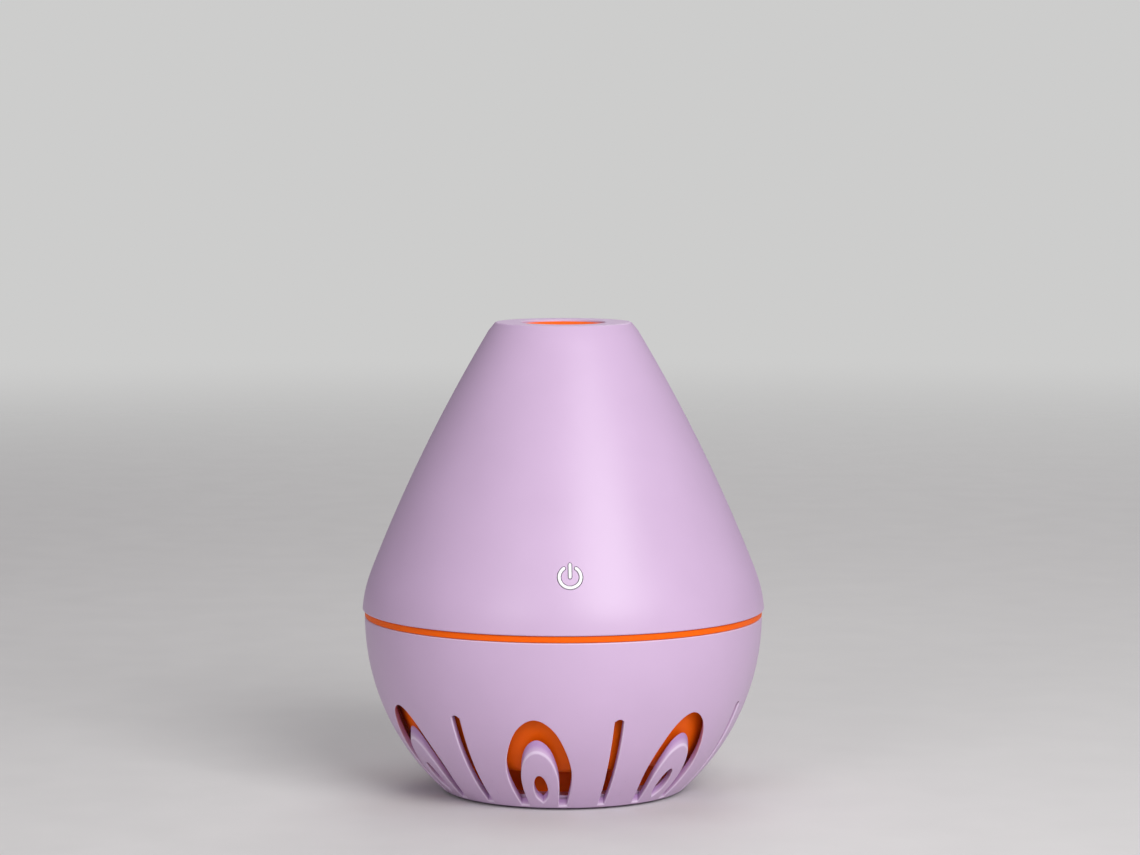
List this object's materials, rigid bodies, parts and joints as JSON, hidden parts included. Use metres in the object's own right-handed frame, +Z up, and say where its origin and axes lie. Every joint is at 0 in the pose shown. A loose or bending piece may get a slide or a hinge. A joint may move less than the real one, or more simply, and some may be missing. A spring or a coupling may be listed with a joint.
{
  "type": "cool mist humidifier",
  "caption": "Drop-shaped desk humidifier: a smooth lift-off head with a power button and a top outlet, over a bowl pierced with petal openings, with an inner water cup.",
  "frame": {"origin": "centre of the footprint on the table, at the bottom of the foot pads", "axes": "+Z up along the body's axis, -Y towards the front with the power button, +X to the right seen from the front"},
  "size_m": [0.1096, 0.11, 0.1285],
  "materials": {
    "lilac_plastic": "satin, fine moulded grain",
    "orange_plastic": "satin",
    "white_light_guide": "smooth, lets light through",
    "milky_plastic": "translucent white",
    "silicone": "soft matte",
    "cotton": "pressed cotton fibre",
    "steel": "plain",
    "ceramic": "fired ceramic",
    "circuit_board": "solder mask",
    "led_body": "phosphor in a white body",
    "red_wire": "insulation",
    "black_wire": "insulation",
    "black_plastic": "moulded",
    "ferrite": "sintered"
  },
  "bodies": {
    "base": {"water_cup": "orange_plastic", "lower_shell": "lilac_plastic", "base_plate": "lilac_plastic", "base_screw_1": "steel", "base_screw_2": "steel", "base_screw_3": "steel", "foot_pad_1": "silicone", "foot_pad_2": "silicone", "foot_pad_3": "silicone", "foot_pad_4": "silicone"},
    "seal": {"seal_ring": "silicone"},
    "head": {"upper_shell": "lilac_plastic", "mist_nozzle": "orange_plastic", "atomizer_seal": "silicone", "atomizer_disc": "steel", "piezo_ring": "ceramic", "head_floor": "milky_plastic", "wick_sleeve": "milky_plastic", "head_screw_1": "steel", "head_screw_2": "steel", "head_screw_3": "steel", "light_lens_1": "milky_plastic", "light_lens_2": "milky_plastic", "light_lens_3": "milky_plastic", "night_led_1": "led_body", "night_led_2": "led_body", "night_led_3": "led_body", "control_board": "circuit_board", "board_screw_1": "steel", "board_screw_2": "steel", "board_screw_3": "steel", "usb_socket": "steel", "usb_tongue": "black_plastic", "inductor": "ferrite", "capacitor": "black_plastic", "driver_chip": "black_plastic", "atomizer_connector": "milky_plastic", "button_connector": "milky_plastic", "tact_switch": "steel", "button_board": "circuit_board", "button_screw_1": "steel", "button_screw_2": "steel", "button_led_1": "led_body", "button_led_2": "led_body", "atomizer_lead_1": "red_wire", "atomizer_lead_2": "black_wire", "button_lead_1": "red_wire", "button_lead_2": "black_wire"},
    "button": {"power_button": "white_light_guide", "switch_plunger": "black_plastic"},
    "wick_holder": {"wick_tube": "milky_plastic", "wick_cap": "milky_plastic", "wick_spring": "steel", "wick": "cotton"}
  },
  "joints": [
    {"name": "head_turn", "type": "hinge", "parent": "base", "child": "seal", "pos_m": [0, 0, 0.049], "axis": [0, 0, 1], "continuous": true},
    {"name": "head_lift", "type": "slide", "parent": "seal", "child": "head", "axis": [0, 0, 1], "range_m": [0, 0.05]},
    {"name": "button_press", "type": "slide", "parent": "head", "child": "button", "axis": [0, 0.9259, -0.3777], "range_m": [0, 0.0005], "stiffness_N_per_m": 1500, "springref_m": -0.001},
    {"name": "wick_tube_twist", "type": "hinge", "parent": "head", "child": "wick_holder", "pos_m": [0, 0, 0.043], "axis": [0, 0, 1], "range_deg": [0, 45]}
  ]
}
